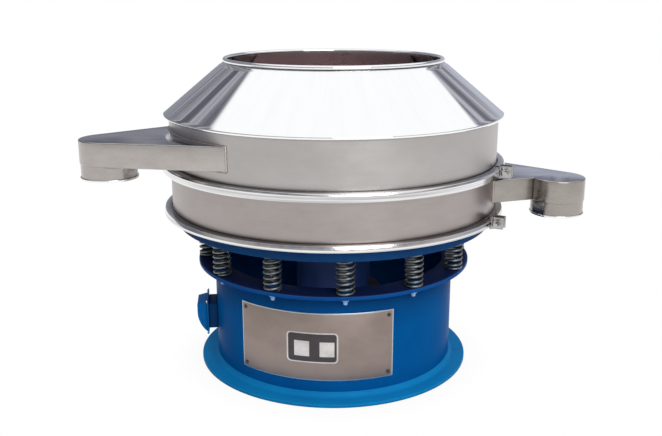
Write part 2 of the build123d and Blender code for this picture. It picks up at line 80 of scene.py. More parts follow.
# access cover and rating plate
COVER_LOW, COVER_TOP, COVER_BACK, COVER_FACE = extent("access_cover")
COVER_SIDES = (-135.2, -63.0)
SCREW_INSET = 16.0
PLATE_LOW, PLATE_TOP, PLATE_BACK, PLATE_FACE = extent("rating_plate")
PLATE_SIDES = (-110.8, -88.0)

# clamps: the lugs' faces are measured from the split between them
CLAMP_GRIP = extent("lower_clamp")[2] + 0.5
CLAMP_FACE = 525.0
CLAMP_WALL = 4.0
LUG_HALF_GAP = 7.0
LUG_FACE = 16.0
LUG_TIP = CLAMP_FACE + 30.5
LUG_BOLT = CLAMP_FACE + 15.5
LOWER_SPLIT = -28.0
UPPER_SPLIT = -21.0

# feed cone
CONE_LOW, CONE_TOP, _, CONE_LIP = extent("feed_cone")

# spouts
FRAME_RADIUS = extent("lower_spout_top")[2]
SPOUT_REACH = 686.0
SPOUT_END_RADIUS = 79.5
SPOUT_LEADING_TAPER = 33.0
SPOUT_SHEET = 3.0
PIPE_BORE_RADIUS = 74.5


# ---------------------------------------------------------------- helpers

def placed(name, data):
    """A new object of the scene."""
    thing = bpy.data.objects.new(name, data)
    bpy.context.scene.collection.objects.link(thing)
    return thing


def shaded(mesh, material, sharp):
    """Smooth shading with creases above an angle, in one material."""
    for polygon in mesh.polygons:
        polygon.use_smooth = True
    mesh.set_sharp_from_angle(angle=radians(sharp))
    mesh.materials.clear()
    mesh.materials.append(material)


def finish_mesh(name, bm, material, body, sharp=35.0, replaces=()):
    """Turns a bmesh into a shaded piece of the scene, on a body."""
    mesh = bpy.data.meshes.new(name)
    bmesh.ops.recalc_face_normals(bm, faces=bm.faces)
    bm.normal_update()
    bm.to_mesh(mesh)
    bm.free()
    shaded(mesh, material, sharp)
    piece = placed(name, mesh)
    if replaces:
        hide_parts(*replaces)
    if body:
        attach(piece, body)
    return piece


def spread(first, last, steps):
    """Even values from the first to the last."""
    return [first + (last - first) * k / steps for k in range(steps + 1)]


def circle(radius, sides):
    """Points round a circle."""
    return [(radius * cos(a), radius * sin(a)) for a in spread(0, 2 * pi, sides)[:-1]]


def rounded(points, radius, steps=5):
    """Closed outline of (x, y) points with each corner rounded; a point may carry its own radius."""
    result = []
    for i, here in enumerate(points):
        r = here[2] if len(here) > 2 else radius
        corner = Vector(here[:2])
        back = Vector(points[i - 1][:2]) - corner
        ahead = Vector(points[(i + 1) % len(points)][:2]) - corner
        turn = back.angle(ahead)
        if r <= 0 or turn > pi - 0.02:
            result.append(tuple(corner))
            continue
        reach = min(r / tan(turn / 2), 0.49 * back.length, 0.49 * ahead.length)
        r = reach * tan(turn / 2)
        back.normalize()
        ahead.normalize()
        centre = corner + (back + ahead).normalized() * (r / sin(turn / 2))
        first = corner + back * reach - centre
        last = corner + ahead * reach - centre
        sweep = atan2(first.x * last.y - first.y * last.x, first.dot(last))
        for t in spread(0, sweep, steps):
            result.append((
                centre.x + first.x * cos(t) - first.y * sin(t),
                centre.y + first.x * sin(t) + first.y * cos(t),
            ))
    return result


def bridge(bm, rings, whole=False, open_rings=False):
    """Faces between each ring of points and the next, and for a whole turn from the last to the first."""
    following = rings[1:] + rings[:1] if whole else rings[1:]
    for here, after in zip(rings, following):
        for i in range(len(here) - 1 if open_rings else len(here)):
            j = (i + 1) % len(here)
            bm.faces.new((here[i], here[j], after[j], after[i]))


def turn_outline(bm, outline, segments, first=0.0, last=360.0):
    """Turns a closed (radius, height) outline about Z, whole or between two angles."""
    whole = last - first > 359.9
    rings = []
    for angle in spread(radians(first), radians(last), segments)[:segments if whole else None]:
        rings.append([
            bm.verts.new((r * MM * cos(angle), r * MM * sin(angle), z * MM)) for r, z in outline
        ])
    bridge(bm, rings, whole)
    if not whole:
        bm.faces.new(rings[0])
        bm.faces.new(reversed(rings[-1]))


def turned(name, outline, material, body, segments, sharp=35.0, replaces=(), first=0.0, last=360.0):
    """A turned piece of the scene."""
    bm = bmesh.new()
    turn_outline(bm, outline, segments, first, last)
    return finish_mesh(name, bm, material, body, sharp, replaces)


def prism(bm, outline, low, high, place, chamfer=0.0):
    """Prism of an outline between two heights, its upper rim chamfered if asked, placed by a matrix."""
    levels = [(low, 0.0), (high, 0.0)]
    if chamfer:
        levels = [(low, 0.0), (high - chamfer, 0.0), (high - 0.3 * chamfer, 0.3 * chamfer), (high, chamfer)]
    centre = Vector((sum(p[0] for p in outline), sum(p[1] for p in outline))) / len(outline)
    rings = []
    for height, inset in levels:
        ring = []
        for point in outline:
            away = Vector(point) - centre
            spot = centre + away * max(0.0, 1 - inset / max(away.length, 1e-6))
            ring.append(bm.verts.new(place @ (Vector((spot.x, spot.y, height)) * MM)))
        rings.append(ring)
    bridge(bm, rings)
    bm.faces.new(reversed(rings[0]))
    bm.faces.new(rings[-1])


def polar(angle, radius=0.0, height=0.0, z_out=False):
    """Matrix at an angle round the axis: X outward and Z up, or Z outward and Y up."""
    heading = Vector((cos(radians(angle)), sin(radians(angle)), 0))
    side = Vector((-heading.y, heading.x, 0))
    up = Vector((0, 0, 1))
    axes = (side, up, heading) if z_out else (heading, side, up)
    place = Matrix(axes).transposed().to_4x4()
    place.translation = (heading * radius + up * height) * MM
    return place


def softened(name, source, width, body, material, segments=3):
    """A copy of a CAD node with its edges rounded, which stands for the node."""
    mesh = nodes[source].data.copy()
    bm = bmesh.new()
    bm.from_mesh(mesh)
    bmesh.ops.remove_doubles(bm, verts=bm.verts, dist=1e-6)
    bmesh.ops.dissolve_limit(
        bm, angle_limit=radians(0.5), verts=bm.verts, edges=bm.edges, delimit={"NORMAL"},
    )
    for layer in list(bm.loops.layers.uv):
        bm.loops.layers.uv.remove(layer)
    bm.to_mesh(mesh)
    bm.free()
    piece = placed(name, mesh)
    bevel = piece.modifiers.new("rounding", "BEVEL")
    bevel.width = width * MM
    bevel.segments = segments
    bevel.limit_method = "ANGLE"
    bevel.angle_limit = radians(35.0)
    bevel.use_clamp_overlap = True
    bpy.context.view_layer.update()
    final = bpy.data.meshes.new_from_object(piece.evaluated_get(bpy.context.evaluated_depsgraph_get()))
    piece.modifiers.clear()
    piece.data = final
    final.name = name
    shaded(final, material, 30.0)
    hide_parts(source)
    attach(piece, body)


# ---------------------------------------------------------------- materials

class Tree:
    """Short way to build a material's nodes."""

    def __init__(self, name):
        self.material = bpy.data.materials.new(name)
        self.material.use_nodes = True
        self.nodes = self.material.node_tree.nodes
        self.links = self.material.node_tree.links
        self.shader = self.nodes["Principled BSDF"]
        self.place = self.add("ShaderNodeTexCoord").outputs["Object"]

    def add(self, kind, **settings):
        node = self.nodes.new(kind)
        for key, value in settings.items():
            setattr(node, key, value)
        return node

    def put(self, socket, value):
        """Links a socket or sets a constant; a colour of three numbers gets its alpha."""
        if isinstance(value, bpy.types.NodeSocket):
            self.links.new(value, socket)
        elif isinstance(value, tuple) and len(value) < len(socket.default_value):
            socket.default_value = (*value, 1)
        else:
            socket.default_value = value

    def maths(self, operation, a, b=0.0):
        node = self.add("ShaderNodeMath", operation=operation)
        self.put(node.inputs[0], a)
        self.put(node.inputs[1], b)
        return node.outputs[0]

    def times(self, a, b):
        return self.maths("MULTIPLY", a, b)

    def plus(self, a, b):
        return self.maths("ADD", a, b)

    def parts(self, vector):
        """The three numbers of a vector."""
        node = self.add("ShaderNodeSeparateXYZ")
        self.put(node.inputs[0], vector)
        return node.outputs

    def facing(self):
        """The direction that the surface faces."""
        return self.add("ShaderNodeNewGeometry").outputs["True Normal"]

    def scaled(self, vector, factors):
        node = self.add("ShaderNodeMapping")
        self.put(node.inputs["Vector"], vector)
        self.put(node.inputs["Scale"], factors)
        return node.outputs[0]

    def round_place(self):
        """Place as (angle round Z times half a metre, radius, height), for what is turned or rolled."""
        x, y, z = self.parts(self.place)
        joined = self.add("ShaderNodeCombineXYZ")
        self.put(joined.inputs[0], self.times(self.maths("ARCTAN2", y, x), 0.5))
        self.put(joined.inputs[1], self.maths("SQRT", self.plus(self.times(x, x), self.times(y, y))))
        self.put(joined.inputs[2], z)
        return joined.outputs[0]

    def noise(self, vector, scale, detail=3.0, rough=0.5):
        node = self.add("ShaderNodeTexNoise")
        self.put(node.inputs["Vector"], vector)
        self.put(node.inputs["Scale"], scale)
        self.put(node.inputs["Detail"], detail)
        self.put(node.inputs["Roughness"], rough)
        return node.outputs["Fac"]

    def remap(self, value, low, high, to_low=0.0, to_high=1.0, **settings):
        node = self.add("ShaderNodeMapRange", **settings)
        self.put(node.inputs["Value"], value)
        self.put(node.inputs["From Min"], low)
        self.put(node.inputs["From Max"], high)
        self.put(node.inputs["To Min"], to_low)
        self.put(node.inputs["To Max"], to_high)
        return node.outputs[0]

    def smooth(self, value, low, high):
        """Eases from 0 to 1 between two values."""
        return self.remap(value, low, high, interpolation_type="SMOOTHSTEP")

    def mixed(self, factor, a, b):
        node = self.add("ShaderNodeMix", data_type="RGBA")
        self.put(node.inputs[0], factor)
        self.put(node.inputs[6], a)
        self.put(node.inputs[7], b)
        return node.outputs[2]

    def bump(self, height, strength, distance):
        node = self.add("ShaderNodeBump")
        self.put(node.inputs["Height"], height)
        self.put(node.inputs["Strength"], strength)
        self.put(node.inputs["Distance"], distance)
        self.links.new(node.outputs[0], self.shader.inputs["Normal"])

    def crevice_shade(self, reach, strength):
        """Share of painted shade at a point deep in a narrow corner, from 0 in the open to the given
        strength.
        """
        node = self.add("ShaderNodeAmbientOcclusion", samples=8)
        self.put(node.inputs["Distance"], reach)
        return self.remap(node.outputs["AO"], 0.35, 0.85, strength, 0.0)

    def finished(self, base, rough, metal=0.0, level=0.5):
        self.put(self.shader.inputs["Base Color"], base)
        self.put(self.shader.inputs["Roughness"], rough)
        self.put(self.shader.inputs["Metallic"], metal)
        self.put(self.shader.inputs["Specular IOR Level"], level)
        return self.material


def dimmed(colour, share):
    """A colour brought down to a share of its light."""
    return tuple(share * part for part in colour)


def paint(name, colour, dark, rough=0.30, grain=0.35, level=0.012, shade=None):
    """Gloss enamel with an uneven film, and painted shade in its crevices.

    With shade it also paints shade, darkening between two heights in metres by a share.
    """
    t = Tree(name)
    cloud = t.noise(t.place, 6.0, 4.0, 0.6)
    fine = t.noise(t.place, 170.0, 2.0)
    film = t.mixed(t.remap(cloud, 0.35, 0.65), dark, colour)
    if shade:
        # painted shade, darker towards the upper height
        low, high, share = shade
        film = t.mixed(t.remap(t.parts(t.place)[2], low, high, 0.0, share), film, (0.006, 0.006, 0.03))
    # painted shade in crevices
    base = t.mixed(t.crevice_shade(0.03, 0.55), film, dimmed(dark, 0.25))
    t.bump(t.plus(fine, t.times(cloud, 1.5)), grain, 0.0006)
    return t.finished(base, t.remap(cloud, 0.3, 0.7, rough - 0.05, rough + 0.08), level=level)


def shelf_paint(name, colour, dark):
    """Enamel of the spring shelf, whose top is dull, with painted shade inside its rim and a painted
    highlight on the rim.
    """
    t = Tree(name)
    cloud = t.noise(t.place, 6.0, 4.0, 0.6)
    radius = t.parts(t.round_place())[1]
    up = t.remap(t.parts(t.facing())[2], 0.1, 0.5)
    # painted highlight on the top's rim, painted shade on the top inside it
    rim = t.remap(radius, (SHELF_OUTER - 8.0) * MM, (SHELF_OUTER - 2.0) * MM)
    top = t.mixed(rim, (0.008, 0.018, 0.075), (0.030, 0.085, 0.27))
    film = t.mixed(t.remap(cloud, 0.35, 0.65), dark, colour)
    t.bump(cloud, 0.3, 0.0006)
    return t.finished(t.mixed(up, film, top), t.remap(cloud, 0.3, 0.7, 0.28, 0.42), level=0.012)


def rolled_sheet(name, colour, dark, rough, streak=0.25, round_it=True, top=None):
    """Satin stainless sheet: fine lines along the rolling direction, faint clouds and painted shade in its
    seams.

    Faces that look up can have a shinier, streaky tone of their own, whose colour is a painted reflection.
    """
    t = Tree(name)
    place = t.round_place() if round_it else t.place
    lines = t.noise(t.scaled(place, (3.0, 3.0, 900.0)), 1.0, 3.0, 0.6)
    clouds = t.noise(t.scaled(place, (1.0, 1.0, 2.0)), 7.0, 4.0, 0.65)
    fleck = t.noise(place, 120.0, 2.0)
    mixture = t.plus(t.times(lines, streak), t.times(clouds, 1 - streak))
    sheet = t.mixed(t.remap(mixture, 0.38, 0.62), dark, colour)
    roughness = t.remap(t.plus(clouds, t.times(lines, 0.5)), 0.5, 1.0, rough - 0.05, rough + 0.06)
    if top:
        upward = t.remap(t.parts(t.facing())[2], 0.6, 0.9)
        smear = t.noise(t.scaled(place, (3.0, 22.0, 1.0)), 2.5, 5.0, 0.6)
        # painted reflection: upward faces take the paler top tone
        sheet = t.mixed(upward, sheet, t.mixed(t.remap(smear, 0.36, 0.64), dimmed(top, 0.72), top))
        roughness = t.maths("SUBTRACT", roughness, t.times(upward, rough - 0.14))
    # painted shade in seams and corners
    base = t.mixed(t.crevice_shade(0.010, 0.8), sheet, (0.05, 0.042, 0.04))
    t.bump(t.plus(t.times(lines, 0.25), t.times(fleck, 0.3)), 0.12, 0.0006)
    return t.finished(base, roughness, metal=1.0)


def polished(name, colour, rough, wave_size, wave_height, inside=None, lines=0.0, reach=0.02):
    """Mirror stainless, slightly wavy round the machine.

    Its inner side below the cone's bead can have a painted reflection of its own, its face drawn lines, and
    its creases painted shade.
    """
    t = Tree(name)
    place = t.round_place()
    wave = t.noise(t.scaled(place, (1.0, 0.25, 0.25)), wave_size, 2.0, 0.5)
    smear = t.noise(t.scaled(place, (9.0, 1.0, 1.0)), 4.0, 4.0, 0.7)
    base = t.mixed(t.remap(smear, 0.3, 0.7), dimmed(colour, 0.97), colour)
    if inside:
        # painted reflection on the inner side below the bead
        outward = t.add("ShaderNodeVectorMath", operation="DOT_PRODUCT")
        t.put(outward.inputs[0], t.facing())
        t.put(outward.inputs[1], t.scaled(t.place, (1.0, 1.0, 0.0)))
        inner = t.remap(outward.outputs["Value"], 0.01, -0.03)
        below = t.remap(t.parts(t.place)[2], (CONE_TOP - 17.0) * MM, (CONE_TOP - 13.0) * MM, 1.0, 0.0)
        base = t.mixed(t.times(inner, below), base, inside)
    if lines:
        drawn = t.noise(t.scaled(place, (2.0, 2.0, 160.0)), 1.0, 3.0, 0.6)
        base = t.mixed(t.remap(drawn, 0.42, 0.60, 0.0, lines), base, (0.30, 0.27, 0.26))
    # painted shade in creases
    base = t.mixed(t.crevice_shade(reach, 0.85), base, (0.06, 0.045, 0.042))
    t.bump(wave, 0.5, wave_height)
    return t.finished(base, t.remap(smear, 0.3, 0.75, rough * 0.7, rough * 1.6), metal=1.0)


def plain_metal(name, colour, rough, grain=240.0, depth=0.0004, metal=1.0):
    """Turned, plated or cast metal with a worn, uneven tone."""
    t = Tree(name)
    tone = t.noise(t.place, 22.0, 4.0, 0.65)
    base = t.mixed(t.remap(tone, 0.3, 0.7), dimmed(colour, 0.72), colour)
    t.bump(t.noise(t.place, grain, 3.0), 0.35, depth)
    return t.finished(base, t.remap(tone, 0.3, 0.7, rough - 0.07, rough + 0.1), metal)


def rubber(name):
    t = Tree(name)
    tone = t.noise(t.place, 40.0, 3.0)
    t.bump(t.noise(t.place, 500.0, 2.0), 0.4, 0.0003)
    base = t.mixed(tone, (0.022, 0.022, 0.024), (0.05, 0.05, 0.052))
    return t.finished(base, t.remap(tone, 0.3, 0.7, 0.6, 0.78))


def woven(name):
    """Woven wire cloth: two crossed sets of wires at a pitch of 3.5 mm."""
    t = Tree(name)
    x, y, _ = t.parts(t.place)
    rate = 2 * pi / 0.0035
    wires = t.maths("MAXIMUM", t.maths("SINE", t.times(x, rate)), t.maths("SINE", t.times(y, rate)))
    tones = t.add("ShaderNodeValToRGB")
    t.put(tones.inputs[0], t.remap(wires, -0.6, 1.0))
    elements = tones.color_ramp.elements
    elements.new(0.5)
    stops = (0.0, (0.03, 0.027, 0.025)), (0.6, (0.28, 0.25, 0.22)), (1.0, (0.5, 0.46, 0.41))
    for element, (position, colour) in zip(elements, stops):
        element.position = position
        element.color = (*colour, 1)
    t.bump(wires, 0.6, 0.0008)
    return t.finished(tones.outputs[0], t.remap(wires, -1.0, 1.0, 0.55, 0.38), metal=0.85)


def coil_steel(name):
    """Oil-hardened spring wire: grey, with drawn lines and traces of dust."""
    t = Tree(name)
    tone = t.noise(t.place, 60.0, 4.0, 0.7)
    base = t.mixed(t.remap(tone, 0.35, 0.65), (0.115, 0.125, 0.128), (0.28, 0.30, 0.30))
    t.bump(t.noise(t.place, 900.0, 2.0), 0.3, 0.0003)
    return t.finished(base, t.remap(tone, 0.3, 0.7, 0.30, 0.46), metal=0.9)


blue = paint("blue_enamel", (0.002, 0.098, 0.31), (0.002, 0.078, 0.265), level=0.006)
# the barrel's enamel gets painted shade below the shelf, darker towards its top
blue_barrel = paint(
    "blue_enamel_barrel", (0.001, 0.094, 0.31), (0.001, 0.076, 0.265), shade=(0.20, 0.30, 0.45), level=0.006,
)
# a lighter copy of the blue enamel: painted light on the foot ring, which faces up to the lamp
blue_foot_lit = paint("blue_enamel_foot_lit", (0.006, 0.235, 0.545), (0.006, 0.20, 0.485), level=0.02)
# the shelf's top has painted shade and its rim a painted highlight
blue_shelf = shelf_paint("blue_enamel_shelf", (0.003, 0.070, 0.27), (0.003, 0.056, 0.225))
# a darker copy of the blue enamel: painted shade for the table, the spring pegs and the box block
blue_shaded = paint("blue_enamel_shaded", (0.008, 0.055, 0.172), (0.008, 0.042, 0.137))
blue_box = paint("blue_enamel_box", (0.003, 0.14, 0.43), (0.003, 0.112, 0.355), grain=0.5, level=0.03)
# blue enamel made pale: a painted highlight for the light the stud ends catch
stud_highlight_paint = paint("blue_enamel_bright", (0.34, 0.52, 0.82), (0.22, 0.40, 0.72), rough=0.22)
satin = rolled_sheet("satin_stainless", (0.505, 0.482, 0.472), (0.45, 0.428, 0.418), 0.36)
satin_low = rolled_sheet("satin_stainless_low", (0.425, 0.383, 0.370), (0.37, 0.334, 0.321), 0.34)
# the tops' bluish tone is a painted reflection
spout_satin = rolled_sheet(
    "satin_stainless_spouts", (0.505, 0.470, 0.448), (0.415, 0.387, 0.368), 0.26,
    streak=0.15, round_it=False, top=(0.525, 0.53, 0.57),
)
# a darker copy with painted shade, the lower spout lying under the upper frame; its top tone is a paler
# painted reflection
spout_satin_low = rolled_sheet(
    "satin_stainless_low_spout", (0.395, 0.363, 0.338), (0.323, 0.295, 0.274), 0.24,
    streak=0.15, round_it=False, top=(0.61, 0.635, 0.70),
)
cover_satin = rolled_sheet(
    "satin_stainless_cover", (0.325, 0.266, 0.239), (0.276, 0.223, 0.203), 0.42, streak=0.1,
)
# the cover's border gets a bluish painted highlight
cover_edge_highlight = rolled_sheet("satin_stainless_edge", (0.54, 0.59, 0.64), (0.48, 0.53, 0.58), 0.30, streak=0.1)
# the cone's inner side below its bead gets a pinkish painted reflection
mirror = polished("polished_stainless", (0.98, 0.99, 1.0), 0.05, 9.0, 0.0012, inside=(0.95, 0.72, 0.85))
bright = polished("bright_stainless", (0.86, 0.86, 0.87), 0.12, 4.0, 0.001, lines=0.55, reach=0.06)
rim_steel = polished("rim_stainless", (0.97, 0.97, 0.98), 0.12, 4.0, 0.001)
zinc = plain_metal("zinc_plating", (0.60, 0.60, 0.59), 0.30)
weld_steel = plain_metal("weld_stainless", (0.62, 0.555, 0.51), 0.30, grain=120.0, depth=0.001)
lug_steel = plain_metal("lug_steel", (0.50, 0.485, 0.475), 0.24)
dark_head = plain_metal("blackened_screw", (0.09, 0.085, 0.085), 0.42)
coil_wire = coil_steel("spring_wire")
seal = rubber("black_rubber")
mesh_cloth = woven("wire_cloth")
motor_paint = plain_metal("motor_enamel", (0.04, 0.10, 0.34), 0.45, metal=0.0)
iron = plain_metal("cast_iron", (0.10, 0.10, 0.105), 0.62, metal=0.6)
shaft_steel = plain_metal("ground_steel", (0.55, 0.55, 0.56), 0.25)
plate_light = plain_metal("plate_aluminium", (0.74, 0.72, 0.71), 0.34)
plate_dark = plain_metal("plate_dark_field", (0.055, 0.045, 0.05), 0.42, metal=0.2)

# the CAD's own solids, whether they show or a piece below stands for them
for material, names in (
    (blue_foot_lit, ("foot_ring",)),
    (blue_barrel, ("barrel",)),
    (blue_shelf, ("spring_shelf",)),
    (blue, ("spring_studs",)),
    (blue_shaded, ("table",)),
    (blue_box, ("box_base", "box_plate", "terminal_box")),
    (coil_wire, ("springs",)),
    (cover_satin, ("access_cover",)),
    (dark_head, ("cover_screws",)),
    (plate_light, ("rating_plate",)),
    (zinc, ("cable_gland", "box_screws", "motor_bolts", "shaft_nuts", "clamp_bolts")),
    (motor_paint, ("motor_housing",)),
    (shaft_steel, ("motor_shaft",)),
    (iron, ("upper_weight", "lower_weight", "trim_weight")),
    (seal, ("lower_seal", "screen_seal")),
    (satin_low, ("lower_frame",)),
    (satin, ("upper_frame", "dome", "screen_frame")),
    (mesh_cloth, ("screen_mesh",)),
    (bright, ("lower_clamp", "upper_clamp")),
    (mirror, ("feed_cone",)),
    (spout_satin, [f"{level}_spout_{part}" for level in ("lower", "upper")
                   for part in ("wall", "top", "floor", "pipe")]),
):
    for name in names:
        nodes[name].data.materials.clear()
        nodes[name].data.materials.append(material)


# ---------------------------------------------------------------- feed cone

def feed_cone():
    """Polished cone with a rounded lip on the frame, and a groove under the rolled bead of its mouth."""
    lip_height, lip_depth, lip_sheet = 6.0, 20.0, 2.8
    bead, bead_radius, bead_height = 6.8, 328.0, CONE_TOP - 6.5
    foot = CONE_LOW + lip_height
    # the face runs from the lip's edge to the lower outer side of the bead
    slope = (bead_radius + 4.2 - CONE_LIP) / (bead_height - 4.6 - foot)
    back = CONE_LIP - 6.8

    def face(rise, inset=0.0):
        return (CONE_LIP + slope * rise - inset, foot + rise)

    roll = [
        (bead_radius + bead * cos(a), bead_height + bead * sin(a))
        for a in spread(radians(-44), radians(220), 22)
    ]
    lip = rounded([
        (CONE_LIP - lip_depth, CONE_LOW, 0.3), (CONE_LIP, CONE_LOW, 3.2), (CONE_LIP + 0.2, foot + 1.0, 4.5),
        (*roll[0], 0.0),
    ], 0.5)[:-1]
    # the points before the groove keep the face's shading straight
    outside = [face(8.0), face(138.5), face(140.5)]
    groove = [(face(143.0, 3.2)[0], foot + 143.5), (roll[0][0] - 2.2, roll[0][1] + 0.4)]
    inside = [
        (bead_radius - 2.6, bead_height - 6.9), (back + 150.0 * slope, foot + 150.0), (back, foot),
        (CONE_LIP - 10.5, CONE_LOW + lip_sheet), (CONE_LIP - lip_depth, CONE_LOW + lip_sheet),
    ]
    turned(
        "cone_sheet", lip + outside + groove + roll[1:] + inside, mirror, SHAKEN,
        360, 40.0, ("feed_cone",),
    )


feed_cone()


# ---------------------------------------------------------------- clamps

def clamp_band(level, low, high, brow, split):
    """Rolled channel band that leans in above its brow, open where its lugs stand."""
    inner = CLAMP_FACE - CLAMP_WALL
    outline = rounded([
        (CLAMP_GRIP, low, 1.0), (CLAMP_FACE, low, 2.0), (CLAMP_FACE, brow, 2.5),
        (CLAMP_FACE - 3.0, high - 0.5, 1.5), (CLAMP_GRIP, high, 1.0), (CLAMP_GRIP, high - 1.8, 0.3),
        (inner - 2.0, high - 2.2, 2.0), (inner, brow, 1.0), (inner, low + 1.8, 1.5),
        (CLAMP_GRIP, low + 1.8, 0.3),
    ], 1.0)
    gap = degrees(LUG_HALF_GAP / (CLAMP_FACE - 5.0))
    turned(
        f"{level}_clamp_band", outline, bright, SHAKEN, 320, 35.0, (f"{level}_clamp",),
        split + gap, split + 360 - gap,
    )


def clamp_lugs(level, split):
    """Two thick strap ends as high as the CAD's, each with a rounded foot on the band."""
    bm = bmesh.new()
    low, high = extent(f"{level}_clamp")[:2]
    root = CLAMP_FACE - 6.4
    plan = [
        (root, LUG_HALF_GAP, 0.3), (LUG_TIP, LUG_HALF_GAP, 3.0), (LUG_TIP, LUG_FACE, 3.0),
        (CLAMP_FACE + 5.0, LUG_FACE, 6.0), (CLAMP_FACE + 0.5, LUG_FACE + 8.0, 1.0),
        (root, LUG_FACE + 8.0, 0.3),
    ]
    for outline in ([(x, -y, r) for x, y, r in reversed(plan)], plan):
        prism(bm, rounded(outline, 0.5, 4), low, high, polar(split))
    bmesh.ops.recalc_face_normals(bm, faces=bm.faces)
    corners = [edge for edge in bm.edges if len(edge.link_faces) == 2 and edge.calc_face_angle(0) > 1.2]
    bmesh.ops.bevel(bm, geom=corners, offset=1.2 * MM, segments=2, affect="EDGES")
    finish_mesh(f"{level}_clamp_band_lugs", bm, lug_steel, SHAKEN, 40.0)


def hexagon(radius):
    """Outline of a bolt head or nut."""
    return rounded(circle(radius, 6), 0.8, 2)


def clamp_bolt(level, split, replaces=()):
    """Hexagon bolt through the middle of the lugs with washers, nut and the bare thread behind it."""
    bm = bmesh.new()
    middle = sum(extent(f"{level}_clamp")[:2]) / 2
    heading = Vector((cos(radians(split)), sin(radians(split)), 0))
    along = Vector((-heading.y, heading.x, 0))
    place = Matrix((heading, Vector((0, 0, -1)), along)).transposed().to_4x4()
    place.translation = (heading * LUG_BOLT + Vector((0, 0, middle))) * MM
    washer = LUG_FACE + 2.2
    thread = 6.5
    prism(bm, circle(13.0, 32), LUG_FACE, washer, place, 0.6)
    prism(bm, circle(13.0, 32), -washer, -LUG_FACE, place)
    prism(bm, hexagon(11.5), washer, washer + 7.3, place, 1.6)
    prism(bm, hexagon(11.5), -washer - 7.8, -washer, place)
    prism(bm, circle(thread - 0.5, 24), -40.0, LUG_FACE + 1.0, place)
    for start in spread(-39.0, -27.0, 8):
        prism(bm, circle(thread, 24), start, start + 0.7, place)
    finish_mesh(f"{level}_clamp_bolt", bm, zinc, SHAKEN, 30.0, replaces)


clamp_band("lower", low=490.0, high=508.0, brow=497.5, split=LOWER_SPLIT)
clamp_lugs("lower", LOWER_SPLIT)
clamp_band("upper", low=623.0, high=648.0, brow=641.5, split=UPPER_SPLIT)
clamp_lugs("upper", UPPER_SPLIT)
clamp_bolt("lower", LOWER_SPLIT, ("clamp_bolts",))
clamp_bolt("upper", UPPER_SPLIT)


# ---------------------------------------------------------------- springs

def spring_angles():
    """Where the springs stand round the machine."""
    return [FIRST_SPRING + 360 / SPRING_COUNT * number for number in range(SPRING_COUNT)]


def wire_height(turn, turns):
    """Height of the wire's middle after so many turns: ends wound flat, with an even helix between."""
    low, high = SPRING_LOW + WIRE_RADIUS, SPRING_TOP - WIRE_RADIUS
    seat = 1.9 * WIRE_RADIUS
    if turn < CLOSED_TURNS:
        return low + seat * (turn / CLOSED_TURNS) ** 2
    if turn > turns - CLOSED_TURNS:
        return high - seat * ((turns - turn) / CLOSED_TURNS) ** 2
    return low + seat + (high - low - 2 * seat) * (turn - CLOSED_TURNS) / ACTIVE_TURNS


def spring_coils():
    """Wound coils with closed, ground ends."""
    bm = bmesh.new()
    turns = ACTIVE_TURNS + 2 * CLOSED_TURNS
    steps = 26
    for number, angle in enumerate(spring_angles()):
        centre = polar(angle, SPRING_CIRCLE).translation / MM
        # each coil starts at an angle of its own
        start = radians(40 + 57 * number)
        rings = []
        for k in range(int(turns * steps) + 1):
            turned_by = start + 2 * pi * k / steps
            out = Vector((cos(turned_by), sin(turned_by), 0))
            ring = []
            for x, z in circle(WIRE_RADIUS, 10):
                point = centre + out * (SPRING_RADIUS - WIRE_RADIUS + x)
                point.z = min(max(wire_height(k / steps, turns) + z, SPRING_LOW), SPRING_TOP)
                ring.append(bm.verts.new(point * MM))
            rings.append(ring)
        bridge(bm, rings)
        bm.faces.new(rings[0])
        bm.faces.new(reversed(rings[-1]))
    coils = finish_mesh("coils", bm, coil_wire, None, 50.0, ("springs",))
    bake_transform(coils)


def spring_seats():
    """Pegs that hold the coils: low ones welded on the shelf, high ones under the table."""
    low = bmesh.new()
    high = bmesh.new()
    peg = circle(17.5, 28)
    for angle in spring_angles():
        place = polar(angle, SPRING_CIRCLE)
        prism(low, peg, SPRING_LOW, SPRING_LOW + 19.0, place, 4.0)
        prism(high, peg, SPRING_TOP - 18.0, SPRING_TOP, place)
        prism(high, circle(8.0, 20), SPRING_TOP - 26.0, SPRING_TOP - 16.0, place)
    finish_mesh("low_spring_pegs", low, blue_shaded, STAND)
    finish_mesh("high_spring_pegs", high, blue_shaded, SHAKEN)


def stud_ends():
    """Washer, hexagon nut and round stud end under the shelf at each spring."""
    bm = bmesh.new()
    for angle in spring_angles():
        top = SHELF_LOW
        for outline, depth in (
            (circle(12.2, 28), 1.6), (hexagon(11.2), 8.6), (circle(6.2, 20), 8.3), (circle(5.2, 20), 2.3),
        ):
            prism(bm, outline, top - depth, top, polar(angle, SPRING_CIRCLE))
            top -= depth
    finish_mesh("stud_ends", bm, stud_highlight_paint, STAND, 30.0, ("spring_studs",))


spring_coils()
spring_seats()
stud_ends()


# ---------------------------------------------------------------- stand and table

def hollow_weld(name, level, size, up, steps, material):
    """Hollow weld between the barrel and a plate at a height, above the plate or below it."""
    outline = [(BARREL_RADIUS - 0.5, level - 0.2 * up)]
    for a in spread(0, pi / 2, steps):
        outline.append((BARREL_RADIUS + size * (1 - sin(a)), level + up * size * (1 - cos(a))))
    outline.append((BARREL_RADIUS - 0.5, level + up * (size + 0.5)))
    turned(name, outline, material, STAND, 300, 50.0)


